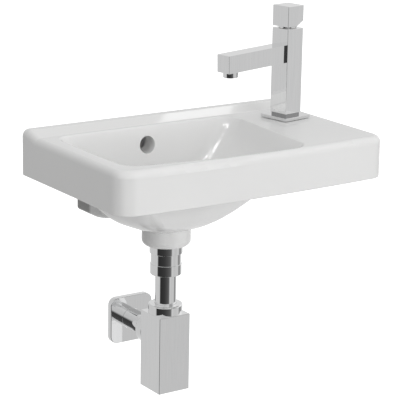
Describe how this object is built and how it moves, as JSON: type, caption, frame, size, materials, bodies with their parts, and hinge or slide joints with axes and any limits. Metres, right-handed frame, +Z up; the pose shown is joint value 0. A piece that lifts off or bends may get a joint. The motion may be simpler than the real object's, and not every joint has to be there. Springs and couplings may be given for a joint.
{
  "type": "wall hung basin",
  "caption": "Compact wall hung ceramic basin with a side tap deck, square pillar mixer with joystick knob, click waste and square bottle trap.",
  "frame": {"origin": "on the wall face, midway between the two fixing studs", "axes": "+X to the right for someone at the basin, +Y into the wall, +Z up"},
  "size_m": [0.454, 0.34, 0.5612],
  "materials": {
    "ceramic": "glossy white glaze",
    "chrome": "polished",
    "zinc_steel": "zinc plated",
    "brass": "turned",
    "black_rubber": "matt",
    "white_plastic": "moulded",
    "black_plastic": "moulded",
    "disc_ceramic": "lapped"
  },
  "bodies": {
    "basin_and_fittings": {"basin": "ceramic", "foot_ring": "chrome", "waste_body": "chrome", "waste_backnut": "chrome", "waste_sleeve": "chrome", "coupling_nut": "chrome", "inlet_pipe": "chrome", "trap_nut": "chrome", "trap_body": "chrome", "cleanout_plug": "chrome", "outlet_socket": "chrome", "outlet_nut": "chrome", "outlet_pipe": "chrome", "wall_rose": "chrome", "tap_base": "chrome", "tap_body": "chrome", "spout": "chrome", "aerator_housing": "chrome", "hanger_bolts": "zinc_steel", "wall_nuts": "zinc_steel", "wall_washers": "zinc_steel", "tap_stud": "zinc_steel", "shoe_plate": "zinc_steel", "tap_stud_nut": "brass", "cartridge_ring_nut": "brass", "waste_flange_seal": "black_rubber", "waste_boss_seal": "black_rubber", "coupling_seal": "black_rubber", "trap_seal": "black_rubber", "cleanout_seal": "black_rubber", "outlet_seal": "black_rubber", "base_gasket": "black_rubber", "shoe_gasket": "black_rubber", "stud_bushes": "white_plastic", "click_insert": "white_plastic", "cartridge_housing": "white_plastic", "cartridge_foot": "white_plastic", "aerator_insert": "black_plastic", "fixed_disc": "disc_ceramic"},
    "click_plug": {"plug_cap": "chrome", "plug_seal": "black_rubber"},
    "knob_swivel_body": {"swivel_carrier": "chrome", "tilt_pin": "zinc_steel"},
    "knob_lever_body": {"lever": "zinc_steel", "knob": "chrome", "knob_grub_screw": "zinc_steel"},
    "slider_body": {"slider_disc": "disc_ceramic"}
  },
  "joints": [
    {"name": "plug_slide", "type": "slide", "parent": "basin_and_fittings", "child": "click_plug", "axis": [0, 0, 1], "range_m": [0, 0.008]},
    {"name": "knob_swivel", "type": "hinge", "parent": "basin_and_fittings", "child": "knob_swivel_body", "pos_m": [0.1708, -0.0975, 0.18], "axis": [0, 0, 1], "range_deg": [-45, 45]},
    {"name": "knob_tilt", "type": "hinge", "parent": "knob_swivel_body", "child": "knob_lever_body", "pos_m": [0.1708, -0.0975, 0.1718], "axis": [-0.1685, 0.9857, 0], "range_deg": [0, 25]},
    {"name": "slider_travel", "type": "slide", "parent": "knob_swivel_body", "child": "slider_body", "axis": [-0.9857, -0.1685, 0], "range_m": [0, 0.00255]}
  ],
  "couplings": [
    {"joint": "slider_travel", "follows": "knob_tilt", "m_per_rad": 0.00581}
  ]
}
